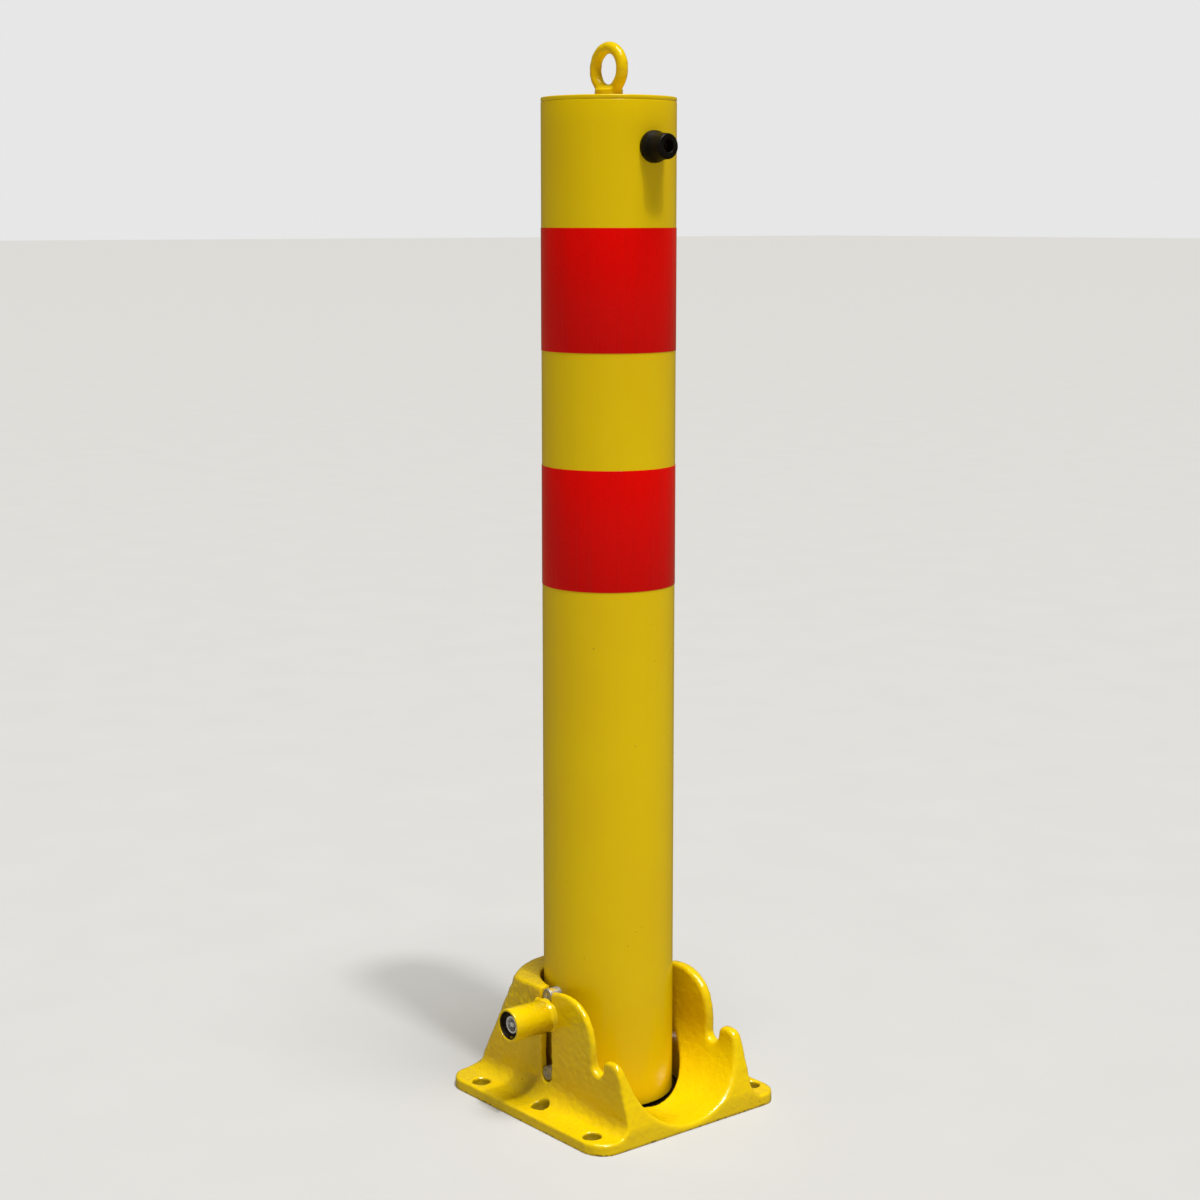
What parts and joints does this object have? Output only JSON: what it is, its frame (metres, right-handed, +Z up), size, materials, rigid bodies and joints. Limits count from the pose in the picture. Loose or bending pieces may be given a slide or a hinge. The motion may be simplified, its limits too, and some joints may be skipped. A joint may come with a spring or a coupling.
{
  "type": "folding parking bollard",
  "caption": "Fold-down parking bollard: a steel tube post with red bands on a cast base with a half-pipe cradle and a side key lock.",
  "frame": {"origin": "centre of the four corner anchor holes, on the ground face of the base", "axes": "+Z up along the upright post, +X towards the side the post folds down to, +Y to its left, with the lock on the -Y side"},
  "size_m": [0.174, 0.17, 0.7239],
  "materials": {
    "casting_paint": "thick gloss yellow paint over rough cast iron",
    "post_paint": "smooth satin-gloss yellow paint on steel tube",
    "red_film": "glossy red retroreflective film",
    "zinc": "dull zinc-plated steel with paint smears",
    "lock_chrome": "polished chrome-plated lock face",
    "lock_shell": "dark bronzed lock shell",
    "rubber_black": "matte black rubber",
    "spring_steel": "bare spring steel wire"
  },
  "bodies": {
    "base": {"base_casting": "casting_paint", "lock_tube": "casting_paint", "lock_tube_weld": "casting_paint", "lock_housing": "lock_shell", "lock_grub_screw": "lock_shell", "lock_spring": "spring_steel"},
    "pivot": {"pivot_pin": "zinc", "pivot_pin_clips": "spring_steel"},
    "post": {"post_tube": "post_paint", "top_cap": "post_paint", "cap_weld": "post_paint", "eye_bolt": "post_paint", "eye_bolt_nut": "zinc", "upper_cross_pin": "zinc", "cross_pin_welds": "spring_steel", "upper_band": "red_film", "lower_band": "red_film", "rubber_stop": "rubber_black", "stop_screw": "lock_shell", "stop_insert": "zinc"},
    "barrel": {"lock_barrel": "lock_chrome", "lock_bolt": "zinc"},
    "key_plug": {"lock_plug": "lock_chrome"}
  },
  "joints": [
    {"name": "post_rise", "type": "slide", "parent": "base", "child": "pivot", "axis": [0, 0, 1], "range_m": [0, 0.0243]},
    {"name": "post_fold", "type": "hinge", "parent": "pivot", "child": "post", "pos_m": [-0.0085, 0, 0.0255], "axis": [0, 1, 0], "range_deg": [0, 88.9]},
    {"name": "lock_press", "type": "slide", "parent": "base", "child": "barrel", "axis": [0, -1, 0], "range_m": [0, 0.012], "deforming": ["lock_spring"]},
    {"name": "key_turn", "type": "hinge", "parent": "barrel", "child": "key_plug", "pos_m": [-0.0085, -0.087, 0.0675], "axis": [0, -1, 0], "range_deg": [0, 90]}
  ],
  "couplings": [
    {"joint": "post_rise", "follows": "post_fold", "m_per_rad": 0.015661}
  ]
}
